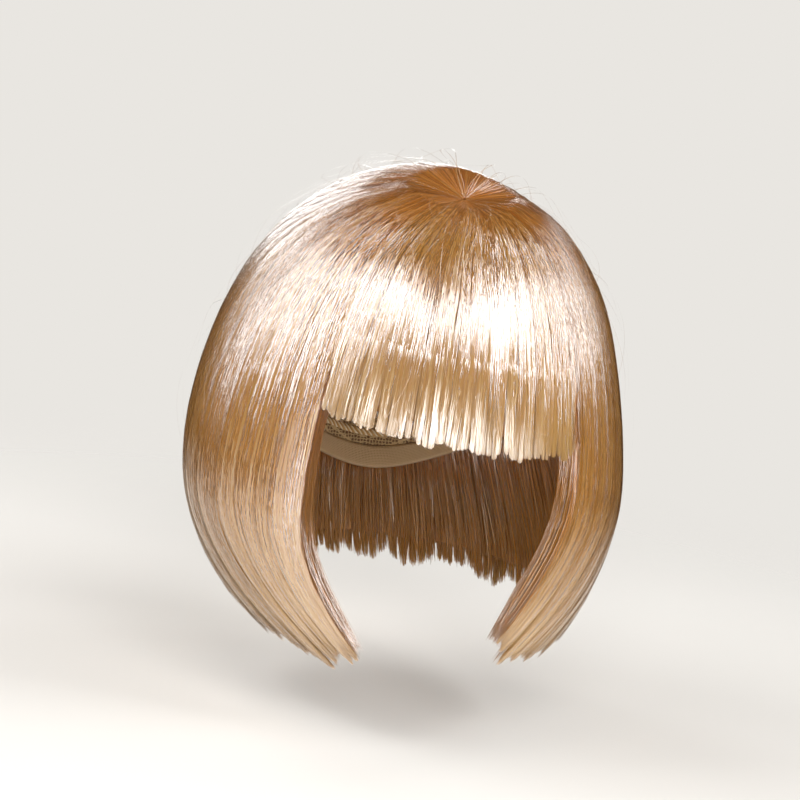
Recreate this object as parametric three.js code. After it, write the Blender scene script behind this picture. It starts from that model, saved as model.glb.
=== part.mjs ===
// A straight bob wig with a full fringe: a stretch cap with an elastic band along its rim, a small crown
// patch, and four fields of hair sewn to the cap, each one wall whose outer side is a row of long locks.
//
// Millimetres, +Z up. As worn, its open front is towards -Y and its left side towards +X. The origin is the
// top of the inside of the cap, where it rests on the crown of the head.
import * as THREE from "three";

// The head that the cap is made for.
const HEAD_BREADTH = 150;
const HEAD_LENGTH = 188;
const HEAD_CENTRE_DROP = 90; // from the crown of the head down to its widest level
const HEAD_LOWER_DEPTH = 112; // how quickly the head narrows below that level
const HEAD_SQUARENESS = 2.3; // 2 is an ellipsoid, more is boxier

// The cap and its band.
const CAP_WALL = 1.6;
const BAND_WALL = 2;
const BAND_HEIGHT = 11;
const CAP_FRONT_DROP = 56; // the rim's drop below the crown of the head at the forehead
const CAP_EAR_DROP = 104;
const CAP_NAPE_DROP = 155;
const RIM_CURVE = 1.6; // 1 is an even curve from the ears, more keeps the rim low for longer beside them

// The crown patch, where the fibres part.
const WHORL_FORWARD = 25; // from the head's mid-line forward
const PATCH_RADIUS = 7;
const PATCH_HEIGHT = 8.5;
const PATCH_EDGE = 2.5; // height of its straight edge below the domed top
const PATCH_SIDES = 20;
const PATCH_ARC_STEPS = 4;

// How far the hair stands off the head, and where it is cut. Drops are below the crown of the head.
const SIDE_VOLUME = 42;
const FRONT_VOLUME = 23;
const BACK_VOLUME = 30;
const TOP_VOLUME = 25.5;
const BOB_DROP = 240; // the longest tips
const FRINGE_DROP = 96;
const FRINGE_SLANT = 5; // how much lower the fringe ends on the wig's left, and higher on its right
const FRINGE_CORNER = 5; // how much shorter it is at the temples
const FACE_CORNER = 10; // how much shorter the front tips are than the locks behind them
const NAPE_TIP_DROP = 206;

// The fronts of the two sides: the drop of the tips, how far they sweep forward, in degrees, and over how
// much of their drop.
const LEFT_FRONT = { tipDrop: 209, sweep: 22, sweepLength: 110 };
const RIGHT_FRONT = { tipDrop: 223, sweep: 18, sweepLength: 80 };

// The fields of hair, as angles round the whorl from the front.
const FRINGE_EDGE = 37;
const SIDE_EDGE = 108;
const HALF_TURN = 180;
const FULL_TURN = 360;
const CORNER_WIDTH = 25; // of the slanted cut at the front tips, as an angle
const FRINGE_LOCKS = 9;
const SIDE_LOCKS = 7;
const BACK_LOCKS = 13;

// One lock.
const LOCK_ROUND = 2.6; // how far the middle of a lock stands above the grooves beside it
const LOCK_VARIETY = 0.16; // of a lock's width, how far a groove strays from an even spacing
const STRAY_STEP = 2.1; // radians from one groove to the next in the wave that they stray by
const FRINGE_NOTCH = 7; // how far the groove between two locks is cut back from their tips
const BOB_NOTCH = 9;
const FRINGE_RAGGED = 2.5; // how far tips are cut above or below the line
const BOB_RAGGED = 3.5;
const RAGGED_STEP = 2.4; // radians from one lock to the next in the wave that they are uneven by
const TIP_THICKNESS = 6;
const EDGE_THICKNESS = 11; // round the open front
const WALL_TAPER = 0.2; // the wall thickens by this share of the distance from the tips and the open front

// The section of a lock from groove to groove: across its width, up to LOCK_ROUND, and down to its tip.
const LOCK_SECTION = [
  { across: 0, lift: 0, reach: 0 },
  { across: 0.25, lift: 0.78, reach: 0.7 },
  { across: 0.5, lift: 1, reach: 1 },
  { across: 0.75, lift: 0.78, reach: 0.7 },
];

const GAP = 0.3; // between pieces that meet
const FIELD_GAP = 0.5; // between two fields of hair
const FACET_DIP = 0.95; // how far the hair's flat inner facets dip towards the cap between their corners
const HAIR_SEAT = CAP_WALL + GAP + FACET_DIP; // from the head to the roots of the hair
const ROWS = 12; // sections along a lock
const CAP_COLUMNS = 36;
const CAP_ROWS = 8;
const BAND_ROWS = 2;
const SHARE_STEP = 1e-4; // how finely a cut is found along a fibre
const LEAST_HALF = 1; // of the head's outline where it closes below

// The hair's outer surface, a row for each section from the whorl to the longest tips. Each number is a
// share. In order: front, side and back are of how far the hair reaches from the whorl that way, each
// followed by its height, of TOP_VOLUME where positive and of BOB_DROP where negative. Then come rootY, of
// the whorl's own distance forward, and lean, of the reach to the side.
const SECTIONS = [
  [0.1, 0.56, 0.08, 0.6, 0.06, 0.8, 1.0, 0.035],
  [0.34, 0.56, 0.26, 0.77, 0.17, 1.08, 1.0, 0.03],
  [0.57, 0.24, 0.47, 0.38, 0.34, 1.0, 0.93, 0.005],
  [0.76, -0.03, 0.65, -0.035, 0.53, 0.71, 0.72, -0.02],
  [0.9, -0.115, 0.78, -0.125, 0.7, 0.22, 0.45, -0.025],
  [0.975, -0.215, 0.87, -0.23, 0.845, -0.06, 0.22, -0.025],
  [1.0, -0.325, 0.935, -0.34, 0.94, -0.175, 0.08, -0.02],
  [0.995, -0.44, 0.98, -0.45, 0.99, -0.3, 0, -0.01],
  [0.99, -0.55, 1.0, -0.56, 1.0, -0.43, 0, 0],
  [0.985, -0.66, 0.97, -0.67, 0.975, -0.56, 0, 0.005],
  [0.965, -0.77, 0.89, -0.775, 0.895, -0.685, 0, 0.02],
  [0.925, -0.87, 0.765, -0.87, 0.765, -0.795, 0, 0.04],
  [0.85, -0.96, 0.59, -0.955, 0.6, -0.89, 0, 0.055],
].map(([front, frontZ, side, sideZ, back, backZ, rootY, lean]) => ({
  front,
  frontZ,
  side,
  sideZ,
  back,
  backZ,
  rootY,
  lean,
}));

const headCentre = new THREE.Vector3(0, 0, -HEAD_CENTRE_DROP);
const radians = THREE.MathUtils.degToRad;

/** A closed geometry of points and the corners of its faces. */
function closedGeometry(points, index) {
  const geometry = new THREE.BufferGeometry().setFromPoints(points);
  geometry.setIndex(index);
  geometry.computeVertexNormals();
  return geometry;
}

/** Half the head's breadth and half its length, grown by offset, at a height above its centre. */
function headHalfSizes(height, offset) {
  const depth = (height > 0 ? HEAD_CENTRE_DROP : HEAD_LOWER_DEPTH) + offset;
  const share = Math.min(Math.abs(height) / depth, 1);
  const left = Math.pow(1 - Math.pow(share, HEAD_SQUARENESS), 1 / HEAD_SQUARENESS);
  return { x: (HEAD_BREADTH / 2 + offset) * left, y: (HEAD_LENGTH / 2 + offset) * left };
}

/** A point on the head grown by offset: angle round it from the front, and turn down from its crown. */
function headPoint(angle, turn, offset) {
  const depth = (turn < Math.PI / 2 ? HEAD_CENTRE_DROP : HEAD_LOWER_DEPTH) + offset;
  const height = depth * Math.cos(turn);
  const half = headHalfSizes(height, offset);
  const [across, along] = [Math.abs(Math.sin(angle)), Math.abs(Math.cos(angle))];
  const bulge = Math.pow(
    Math.pow(across, HEAD_SQUARENESS) + Math.pow(along, HEAD_SQUARENESS),
    -1 / HEAD_SQUARENESS,
  );
  return new THREE.Vector3(
    half.x * bulge * Math.sin(angle),
    -half.y * bulge * Math.cos(angle),
    height - HEAD_CENTRE_DROP,
  );
}

/** How far a point is from the head grown by offset, along the line to the head's middle line. */
function depthToHead(point, offset) {
  const from = point.clone().sub(headCentre);
  if (from.z > 0) {
    const share = Math.pow(
      Math.pow(Math.abs(from.x) / (HEAD_BREADTH / 2 + offset), HEAD_SQUARENESS) +
        Math.pow(Math.abs(from.y) / (HEAD_LENGTH / 2 + offset), HEAD_SQUARENESS) +
        Math.pow(from.z / (HEAD_CENTRE_DROP + offset), HEAD_SQUARENESS),
      1 / HEAD_SQUARENESS,
    );
    return from.length() * (1 - 1 / share);
  }
  const half = headHalfSizes(from.z, offset);
  const share = Math.pow(
    Math.pow(Math.abs(from.x) / Math.max(half.x, LEAST_HALF), HEAD_SQUARENESS) +
      Math.pow(Math.abs(from.y) / Math.max(half.y, LEAST_HALF), HEAD_SQUARENESS),
    1 / HEAD_SQUARENESS,
  );
  return Math.hypot(from.x, from.y) * (1 - 1 / share);
}

/** The direction from a point towards the head's centre, level below the head's widest part. */
function inwards(point) {
  const target = new THREE.Vector3(0, 0, Math.min(point.z, headCentre.z));
  return target.sub(point).normalize();
}

/** The rim's drop below the crown of the head, at an angle round it from the front. */
function rimDrop(angle) {
  const turn = Math.cos(angle);
  const end = turn > 0 ? CAP_FRONT_DROP : CAP_NAPE_DROP;
  return CAP_EAR_DROP + (end - CAP_EAR_DROP) * Math.pow(Math.abs(turn), RIM_CURVE);
}

/** The turn down from the crown of the head at which the head has dropped that far. */
function turnAtDrop(drop) {
  const height = HEAD_CENTRE_DROP - drop;
  return Math.acos(height / (height > 0 ? HEAD_CENTRE_DROP : HEAD_LOWER_DEPTH));
}

/** A grid of points on the head, grown by offset, between two turns that depend on the angle. */
function headLoops(rows, offset, firstTurn, lastTurn) {
  return Array.from({ length: rows + 1 }, (_, row) =>
    Array.from({ length: CAP_COLUMNS }, (_, column) => {
      const angle = (2 * Math.PI * column) / CAP_COLUMNS;
      const turn = THREE.MathUtils.lerp(firstTurn(angle), lastTurn(angle), row / rows);
      return headPoint(angle, turn, offset);
    }),
  );
}

/** The faces between loops, as a list of corners that wind the same way as the loops. */
function bandIndex(rows, count, first, flipped) {
  const index = [];
  for (let row = 0; row < rows; row++) {
    for (let i = 0; i < count; i++) {
      const a = first + row * count + i;
      const b = first + row * count + ((i + 1) % count);
      const faces = [a, a + count, b + count, a, b + count, b];
      index.push(...(flipped ? faces.reverse() : faces));
    }
  }
  return index;
}

const bandTopTurn = (angle) => turnAtDrop(rimDrop(angle) - BAND_HEIGHT);
const rimTurn = (angle) => turnAtDrop(rimDrop(angle));
const capEdgeTurn = (angle) => turnAtDrop(rimDrop(angle) - BAND_HEIGHT - GAP);

/** The cap: an open dome over the head, from its crown to the top of the band. */
function capGeometry() {
  const firstTurn = () => Math.PI / (2 * CAP_ROWS);
  const inner = headLoops(CAP_ROWS, 0, firstTurn, capEdgeTurn);
  const outer = headLoops(CAP_ROWS, CAP_WALL, firstTurn, capEdgeTurn);
  const points = [...outer.flat(), ...inner.flat()];
  const outerTop = points.push(new THREE.Vector3(0, 0, CAP_WALL)) - 1;
  const innerTop = points.push(new THREE.Vector3(0, 0, 0)) - 1;
  const half = outer.flat().length;
  const index = [
    ...bandIndex(CAP_ROWS, CAP_COLUMNS, 0, false),
    ...bandIndex(CAP_ROWS, CAP_COLUMNS, half, true),
  ];
  const lastRow = CAP_ROWS * CAP_COLUMNS;
  for (let i = 0; i < CAP_COLUMNS; i++) {
    const next = (i + 1) % CAP_COLUMNS;
    index.push(outerTop, i, next, innerTop, half + next, half + i);
    const a = lastRow + i;
    const b = lastRow + next;
    index.push(a, half + a, half + b, a, half + b, b);
  }
  return closedGeometry(points, index);
}

/** The elastic band: a ring along the cap's rim. */
function bandGeometry() {
  const outer = headLoops(BAND_ROWS, BAND_WALL, bandTopTurn, rimTurn);
  const inner = headLoops(BAND_ROWS, 0, bandTopTurn, rimTurn);
  const loops = [...outer, ...inner.reverse()];
  const rows = loops.length;
  const index = bandIndex(rows - 1, CAP_COLUMNS, 0, false);
  for (let i = 0; i < CAP_COLUMNS; i++) {
    const next = (i + 1) % CAP_COLUMNS;
    const last = (rows - 1) * CAP_COLUMNS;
    index.push(last + i, i, next, last + i, next, last + next);
  }
  return closedGeometry(loops.flat(), index);
}

const reach = {
  front: HEAD_LENGTH / 2 + FRONT_VOLUME - WHORL_FORWARD,
  side: HEAD_BREADTH / 2 + SIDE_VOLUME,
  back: HEAD_LENGTH / 2 + BACK_VOLUME + WHORL_FORWARD,
};
const heightOf = (share) => share * (share > 0 ? TOP_VOLUME : BOB_DROP);

/** A smooth curve down one side of the hair, through the rows of SECTIONS. */
function meridian(pointOf) {
  return new THREE.CatmullRomCurve3(SECTIONS.map(pointOf), false, "centripetal");
}
const frontMeridian = meridian(
  (row) => new THREE.Vector3(0, -WHORL_FORWARD - row.front * reach.front, heightOf(row.frontZ)),
);
const sideMeridian = meridian(
  (row) => new THREE.Vector3(row.side * reach.side, -row.rootY * WHORL_FORWARD, heightOf(row.sideZ)),
);
const leanCurve = meridian(
  (row) => new THREE.Vector3(row.lean * reach.side, -row.rootY * WHORL_FORWARD, heightOf(row.sideZ)),
);
const backMeridian = meridian(
  (row) => new THREE.Vector3(0, -WHORL_FORWARD + row.back * reach.back, heightOf(row.backZ)),
);

/** A point of the hair's outer surface: angle round the whorl from the front, and share of the way down. */
function surfacePoint(angle, share) {
  const side = sideMeridian.getPoint(share);
  const lean = leanCurve.getPoint(share).x;
  const turn = Math.cos(angle);
  const end = (turn > 0 ? frontMeridian : backMeridian).getPoint(share);
  return new THREE.Vector3(
    lean + side.x * Math.sin(angle),
    THREE.MathUtils.lerp(side.y, end.y, Math.abs(turn)),
    THREE.MathUtils.lerp(side.z, end.z, turn * turn),
  );
}

/** A point on the fibre that leaves the whorl at that angle: towards its tip it sweeps forward. */
function hairPoint(angle, share) {
  const turn = Math.sin(angle);
  const front = turn > 0 ? LEFT_FRONT : RIGHT_FRONT;
  const above = front.tipDrop + surfacePoint(angle, share).z;
  const near = THREE.MathUtils.clamp(1 - above / front.sweepLength, 0, 1);
  const sweep = (radians(front.sweep) * near * near * turn) / Math.sin(radians(FRINGE_EDGE));
  return surfacePoint(angle - sweep, share);
}

/** The share of the way down at which the hair at that angle has dropped that far. */
function shareAtDrop(angle, drop) {
  let low = 0;
  let high = 1;
  while (high - low > SHARE_STEP) {
    const middle = (low + high) / 2;
    if (hairPoint(angle, middle).z > -drop) {
      low = middle;
    } else {
      high = middle;
    }
  }
  return high;
}

/** The angle that keeps a field of hair half of FIELD_GAP from the next one, at a share of the way down. */
function edgeAngle(angle, share) {
  const point = hairPoint(angle, share);
  const side = sideMeridian.getPoint(share);
  return Math.asin(FIELD_GAP / 2 / Math.hypot(point.x, point.y - side.y));
}

/** How thick the hair is under a point of its outer surface, on a fibre that ends at the share end. */
function wallThickness(point, angle, share, end) {
  const fromTip = TIP_THICKNESS + WALL_TAPER * point.distanceTo(hairPoint(angle, end));
  const aboveFringe = Math.max(point.z + FRINGE_DROP, 0);
  const frontEdge = hairPoint(Math.sign(Math.sin(angle)) * radians(FRINGE_EDGE), share);
  const isBesideFront = Math.cos(angle) < Math.cos(radians(FRINGE_EDGE));
  const toFront = isBesideFront ? Math.hypot(aboveFringe, point.distanceTo(frontEdge)) : aboveFringe;
  return Math.min(depthToHead(point, HAIR_SEAT), fromTip, EDGE_THICKNESS + WALL_TAPER * toFront);
}

/** The columns of a field of hair, lock by lock: the angle of each, its lift, and where it ends. */
function fieldColumns({ from, to, locks, drop, notch, ragged }) {
  const step = (to - from) / locks;
  const groove = (place) => {
    const strays = place > 0 && place < locks ? LOCK_VARIETY * Math.sin(STRAY_STEP * place) : 0;
    return from + (place + strays) * step;
  };
  return Array.from({ length: locks + 1 }, (_, place) => {
    const section = place < locks ? LOCK_SECTION : LOCK_SECTION.slice(0, 1);
    return section.map(({ across, lift, reach: down }) => {
      const degrees = THREE.MathUtils.lerp(groove(place), groove(place + 1), across);
      const uneven = ragged * Math.sin(RAGGED_STEP * place + from);
      const cut = drop(degrees) + uneven * down - notch * (1 - down);
      return { angle: radians(degrees), lift, end: shareAtDrop(radians(degrees), cut) };
    });
  }).flat();
}

/** A field of hair between two angles, as one closed wall. */
function fieldGeometry(field) {
  const [from, to] = [radians(field.from), radians(field.to)];
  const columns = fieldColumns(field);
  const outer = [];
  const inner = [];
  for (let row = 0; row <= ROWS; row++) {
    for (const { angle, lift, end } of columns) {
      const share = (end * row) / ROWS;
      const left = from + edgeAngle(from, share);
      const right = to - edgeAngle(to, share);
      const inGap = THREE.MathUtils.mapLinear(angle, from, to, left, right);
      const point = hairPoint(inGap, share);
      point.addScaledVector(inwards(point), LOCK_ROUND * (1 - lift * Math.min(row, 1)));
      outer.push(point);
      inner.push(point.clone().addScaledVector(inwards(point), wallThickness(point, inGap, share, end)));
    }
  }

  const count = columns.length;
  const under = outer.length; // from a corner on the outer side to the one under it
  const index = [];
  for (let row = 0; row < ROWS; row++) {
    for (let column = 0; column < count - 1; column++) {
      const a = row * count + column;
      const [b, c, d] = [a + 1, a + count, a + count + 1];
      const isRising = columns[column + 1].lift > columns[column].lift;
      const faces = isRising ? [a, c, d, a, d, b] : [a, c, b, b, c, d];
      index.push(...faces, ...faces.map((corner) => corner + under).reverse());
    }
    const a = row * count;
    const c = a + count;
    index.push(c, a, a + under, c, a + under, c + under);
    const b = c - 1;
    const d = b + count;
    index.push(b, d, b + under, d, d + under, b + under);
  }
  for (let column = 0; column < count - 1; column++) {
    const root = column;
    index.push(root, root + 1, root + 1 + under, root, root + 1 + under, root + under);
    const tip = ROWS * count + column;
    index.push(tip + 1, tip, tip + under, tip + 1, tip + under, tip + 1 + under);
  }
  return closedGeometry([...outer, ...inner], index);
}

/** The drop of the fringe's cut line at an angle from the front. */
function fringeDrop(degrees) {
  const share = degrees / FRINGE_EDGE;
  return FRINGE_DROP + FRINGE_SLANT * share - FRINGE_CORNER * Math.pow(share, 4);
}

/** The drop of the cut line behind the fringe, from the front tips round to the nape. */
function bobDrop(degrees) {
  const front = degrees > 0 && degrees < HALF_TURN ? LEFT_FRONT : RIGHT_FRONT;
  const fromFront = degrees > HALF_TURN ? FULL_TURN - degrees : Math.abs(degrees);
  const behind = THREE.MathUtils.smoothstep(fromFront, FRINGE_EDGE, HALF_TURN);
  const pastCorner = THREE.MathUtils.smoothstep(fromFront, FRINGE_EDGE, FRINGE_EDGE + CORNER_WIDTH);
  return THREE.MathUtils.lerp(front.tipDrop, NAPE_TIP_DROP, behind) - FACE_CORNER * (1 - pastCorner);
}

/** The crown patch: a low domed disc, its base on the plane z = 0. */
function patchGeometry() {
  const arc = Array.from({ length: PATCH_ARC_STEPS + 1 }, (_, i) => {
    const turn = (Math.PI / 2) * (i / PATCH_ARC_STEPS);
    return new THREE.Vector2(
      PATCH_RADIUS * Math.cos(turn),
      PATCH_EDGE + (PATCH_HEIGHT - PATCH_EDGE) * Math.sin(turn),
    );
  });
  arc[arc.length - 1].x = 0;
  const profile = [new THREE.Vector2(0, 0), new THREE.Vector2(PATCH_RADIUS, 0), ...arc];
  return new THREE.LatheGeometry(profile, PATCH_SIDES).rotateX(Math.PI / 2);
}

/** Places the patch flat on the cap, under the whorl. */
function placePatch(patch) {
  const [{ lean, sideZ }] = SECTIONS;
  const whorl = new THREE.Vector3(lean * reach.side, -WHORL_FORWARD, heightOf(sideZ));
  const toWhorl = whorl.clone().sub(headCentre).normalize();
  const seat = whorl.addScaledVector(toWhorl, -depthToHead(whorl, CAP_WALL));
  const fromCentre = seat.clone().sub(headCentre);
  const slope = (along, half) =>
    (Math.sign(along) * Math.pow(Math.abs(along) / half, HEAD_SQUARENESS - 1)) / half;
  const square = new THREE.Vector3(
    slope(fromCentre.x, HEAD_BREADTH / 2 + CAP_WALL),
    slope(fromCentre.y, HEAD_LENGTH / 2 + CAP_WALL),
    slope(fromCentre.z, HEAD_CENTRE_DROP + CAP_WALL),
  ).normalize();
  patch.position.copy(seat).addScaledVector(square, GAP);
  patch.quaternion.setFromUnitVectors(new THREE.Vector3(0, 0, 1), square);
}

const FIBRE = { color: 0xe2bd84, roughness: 0.32, metalness: 0 };
const NET = { color: 0xc9a878, roughness: 0.8, metalness: 0 };
const ELASTIC = { color: 0xd8c3a0, roughness: 0.75, metalness: 0 };
const SKIN_TONE = { color: 0xc98a4c, roughness: 0.55, metalness: 0 };

/** A named mesh with a material of its own. */
function piece(name, geometry, look) {
  const mesh = new THREE.Mesh(geometry, new THREE.MeshStandardMaterial(look));
  mesh.name = name;
  return mesh;
}

const fields = {
  fringe: {
    from: -FRINGE_EDGE,
    to: FRINGE_EDGE,
    locks: FRINGE_LOCKS,
    drop: fringeDrop,
    notch: FRINGE_NOTCH,
    ragged: FRINGE_RAGGED,
  },
  side_hair_left: {
    from: FRINGE_EDGE,
    to: SIDE_EDGE,
    locks: SIDE_LOCKS,
    drop: bobDrop,
    notch: BOB_NOTCH,
    ragged: BOB_RAGGED,
  },
  side_hair_right: {
    from: -SIDE_EDGE,
    to: -FRINGE_EDGE,
    locks: SIDE_LOCKS,
    drop: bobDrop,
    notch: BOB_NOTCH,
    ragged: BOB_RAGGED,
  },
  back_hair: {
    from: SIDE_EDGE,
    to: FULL_TURN - SIDE_EDGE,
    locks: BACK_LOCKS,
    drop: bobDrop,
    notch: BOB_NOTCH,
    ragged: BOB_RAGGED,
  },
};

const wig = new THREE.Group();
wig.add(piece("cap", capGeometry(), NET));
wig.add(piece("cap_band", bandGeometry(), ELASTIC));
const patch = piece("crown_patch", patchGeometry(), SKIN_TONE);
placePatch(patch);
wig.add(patch);
for (const [name, field] of Object.entries(fields)) {
  wig.add(piece(name, fieldGeometry(field), FIBRE));
}

export default wig;
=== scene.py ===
"""Dresses a straight blond bob wig with a full fringe over its fitted frame.

Lengths are metres and angles are degrees, unless a comment or a docstring says otherwise. The wig's open
front is towards -Y, and its left side as worn is towards +X. The origin is the top of the cap's inside.
"""

import logging
import math
from dataclasses import dataclass, field
from enum import Enum
from typing import Callable

import bpy
import numpy as np
from mathutils import Matrix, Vector


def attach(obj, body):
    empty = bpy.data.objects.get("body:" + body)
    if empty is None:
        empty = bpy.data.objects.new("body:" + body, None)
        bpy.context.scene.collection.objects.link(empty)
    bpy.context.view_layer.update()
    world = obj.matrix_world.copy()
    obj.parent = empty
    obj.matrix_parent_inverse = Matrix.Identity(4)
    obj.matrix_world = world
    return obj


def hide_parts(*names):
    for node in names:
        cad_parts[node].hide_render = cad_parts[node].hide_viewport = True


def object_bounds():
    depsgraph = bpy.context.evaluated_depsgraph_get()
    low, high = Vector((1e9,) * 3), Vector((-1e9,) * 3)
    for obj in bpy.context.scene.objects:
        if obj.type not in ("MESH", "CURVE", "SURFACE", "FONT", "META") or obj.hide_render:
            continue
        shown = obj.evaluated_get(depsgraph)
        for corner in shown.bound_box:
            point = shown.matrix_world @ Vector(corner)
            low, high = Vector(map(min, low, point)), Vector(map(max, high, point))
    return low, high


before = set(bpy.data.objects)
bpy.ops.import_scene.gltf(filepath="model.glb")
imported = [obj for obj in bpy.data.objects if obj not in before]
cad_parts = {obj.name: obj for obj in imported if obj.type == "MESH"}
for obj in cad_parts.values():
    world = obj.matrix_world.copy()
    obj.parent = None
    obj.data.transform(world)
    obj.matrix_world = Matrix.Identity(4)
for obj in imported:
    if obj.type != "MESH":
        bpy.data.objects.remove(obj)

CAD_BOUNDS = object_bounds()
BAKE_UV = "OFBake"
SEED = 7
MM = 0.001
STRAND_WIDTH = 0.42 * MM  # drawn coarser than modacrylic fibre, 0.07 mm, so that single strands show
WAVE_TURN = 0.5  # a wave texture of this scale repeats once in two metres
TINY = 1e-12
ASIDE = 1e-3  # radians, or a share of the way down: a short step for finding a direction
LOG = logging.getLogger("wig")
Array = np.ndarray
Random = np.random.Generator
Material = bpy.types.Material
Mesh = bpy.types.Mesh
Socket = bpy.types.NodeSocket
Links = dict[str | int, object] | None  # what each input of a node takes, by its name or number


class Edge(Enum):
    """The edges that a field of hair can be cut along."""

    FRINGE = "fringe"
    BOB = "bob"


class Slot(Enum):
    """The record's material slots, one named with each new piece."""

    FIBRE = "fibre"
    NET = "cap_net"
    ELASTIC = "elastic"


def linear(colour: str) -> tuple[float, ...]:
    """Turns an sRGB hex colour into linear red, green, blue and an alpha of one."""
    channels = [int(colour[start:start + 2], 16) / 255 for start in (1, 3, 5)]
    return (*[c / 12.92 if c <= 0.04045 else ((c + 0.055) / 1.055) ** 2.4 for c in channels], 1.0)


def smoothstep(value: Array, low: float, high: float) -> Array:
    """Rises from 0 at low to 1 at high, level at both ends."""
    share = np.clip((np.asarray(value) - low) / (high - low), 0, 1)
    return share * share * (3 - 2 * share)


def unit(vectors: Array) -> Array:
    """Scales each vector of an array to length one."""
    return vectors / np.maximum(np.linalg.norm(vectors, axis=-1, keepdims=True), TINY)


def add_node(
    tree: bpy.types.NodeTree,
    kind: str,
    links: Links = None,
    stops: tuple[tuple[float, str], ...] = (),
    **settings: object,
) -> bpy.types.Node:
    """Adds a node to a tree.

    Args:
        tree: the node tree.
        kind: the node's type, without the words ShaderNode.
        links: what its inputs take, each a socket or a constant.
        stops: the places and sRGB hex colours of a colour ramp.
        settings: the node's own settings.
    Returns:
        The new node.
    """
    node = tree.nodes.new("ShaderNode" + kind)
    for name, value in settings.items():
        setattr(node, name, value)
    for _ in stops[2:]:
        node.color_ramp.elements.new(1.0)
    for index, (position, colour) in enumerate(stops):
        element = node.color_ramp.elements[index]
        element.position, element.color = position, linear(colour)
    for name, value in (links or {}).items():
        socket = node.inputs[name]
        if isinstance(value, bpy.types.NodeSocket):
            tree.links.new(value, socket)
        else:
            socket.default_value = value
    return node


@dataclass(frozen=True)
class Shading:
    """The node tree of a finish while its nodes are laid."""

    tree: bpy.types.NodeTree

    def add(self, kind: str, out: str | int, links: Links = None, **settings: object) -> Socket:
        """Adds a node and gives one of its outputs."""
        return add_node(self.tree, kind, links, **settings).outputs[out]

    def place(self) -> Socket:
        """Gives places in the piece's own frame, in metres."""
        return self.add("TexCoord", "Object")

    def flow(self) -> Socket:
        """Gives places on the piece's map in metres, across and down it."""
        return self.add("UVMap", "UV", uv_map="flow")

    def ramp(self, value: Socket, *stops: tuple[float, str]) -> Socket:
        """Turns a value into a colour by the places and sRGB hex colours of a ramp."""
        return self.add("ValToRGB", "Color", {"Fac": value}, stops=stops)

    def bump(self, height: Socket, strength: float, depth: float) -> Socket:
        """Gives the normal of a relief of that depth."""
        return self.add("Bump", "Normal", {"Height": height, "Strength": strength, "Distance": depth})


@dataclass(frozen=True)
class Finish:
    """A finish, named for its real material, with its roughness and its index of refraction."""

    name: str
    roughness: float
    ior: float

    def surface(self, shade: Shading) -> Links:
        """Lays the finish's own nodes, and gives what its surface takes."""
        raise NotImplementedError

    def material(self) -> Material:
        """Makes the finish's material."""
        material = bpy.data.materials.new(self.name)
        material.use_nodes = True
        tree = material.node_tree
        tree.nodes.clear()
        links = {"Roughness": self.roughness, "IOR": self.ior, **self.surface(Shading(tree))}
        surface = add_node(tree, "BsdfPrincipled", links)
        add_node(tree, "OutputMaterial", {"Surface": surface.outputs["BSDF"]})
        return material


@dataclass(frozen=True)
class ModacrylicFibre(Finish):
    """Modacrylic fibre, melt-spun and drawn straight: glassy white gloss in bands over a warm straw body."""

    name: str = "modacrylic_fibre"
    # root: orange painted shade where the fibres crowd at the whorl; tip: paler painted light where light
    # passes through the thin ends
    root: str = "#DA7404"
    body: str = "#BC7C24"
    tip: str = "#D8AC64"
    root_shade_end: float = 0.34  # of each fibre's length, where the orange painted shade of the roots has gone
    tip_light_start: float = 0.7
    dark_strand: str = "#6E421A"
    light_strand: str = "#E0B872"
    roughness: float = 0.22
    ior: float = 2.2  # above modacrylic's 1.52: the smooth films of a filament add up to more than one face
    specular: float = 1.0
    coat: float = 1.0
    coat_ior: float = 2.4
    strand_share: float = 0.45  # of the colour, how much goes by the strand and not by the place along it
    dust: float = 6 * MM
    dust_depth: float = 0.06

    def surface(self, shade: Shading) -> Links:
        """Colours the fibre by each strand's tone and the place along it, with orange painted shade at the
        roots and paler painted light at the tips.
        """
        along = shade.add("Attribute", "Fac", attribute_name="along")
        tone = shade.add("Attribute", "Fac", attribute_name="tone")
        # along each fibre: painted shade at the roots, the fibre's own body colour, then painted light at the
        # tips
        lengthwise = shade.ramp(
            along, (0.0, self.root), (self.root_shade_end, self.body), (self.tip_light_start, self.body), (1.0, self.tip)
        )
        strand = shade.ramp(tone, (0.0, self.dark_strand), (0.5, self.body), (1.0, self.light_strand))
        colour = shade.add("Mix", 2, {0: self.strand_share, 6: lengthwise, 7: strand}, data_type="RGBA")
        dust = shade.add("TexNoise", "Fac", {"Vector": shade.place(), "Scale": 1 / self.dust, "Detail": 3.0})
        low, high = self.roughness - self.dust_depth, self.roughness + self.dust_depth
        rough = shade.add("MapRange", "Result", {"Value": dust, "To Min": low, "To Max": high})
        return {
            "Base Color": colour, "Roughness": rough, "Specular IOR Level": self.specular,
            "Coat Weight": self.coat, "Coat Roughness": self.roughness, "Coat IOR": self.coat_ior,
        }


@dataclass(frozen=True)
class FibreBed(Finish):
    """The packed fibre under the top strands: the same modacrylic, with painted shade for the darkness where
    light sinks into it.
    """

    name: str = "modacrylic_fibre_bed"
    deep: str = "#5F3A18"
    body: str = "#A56C30"
    light: str = "#C58F50"
    roughness: float = 0.42
    ior: float = 1.52
    streak: float = 0.6 * MM  # a bundle of fibres; one fibre is 0.07 mm and too fine to show
    streak_length: float = 90 * MM

    def surface(self, shade: Shading) -> Links:
        """Streaks the bed along its fibres."""
        scale = (1 / self.streak, 1 / self.streak_length, 1.0)
        stretched = shade.add("Mapping", "Vector", {"Vector": shade.flow(), "Scale": scale})
        streaks = shade.add("TexNoise", "Fac", {"Vector": stretched, "Scale": 1.0, "Detail": 4.0})
        colour = shade.ramp(streaks, (0.3, self.deep), (0.52, self.body), (0.72, self.light))
        return {"Base Color": colour, "Normal": shade.bump(streaks, strength=0.8, depth=0.4 * MM)}


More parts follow.
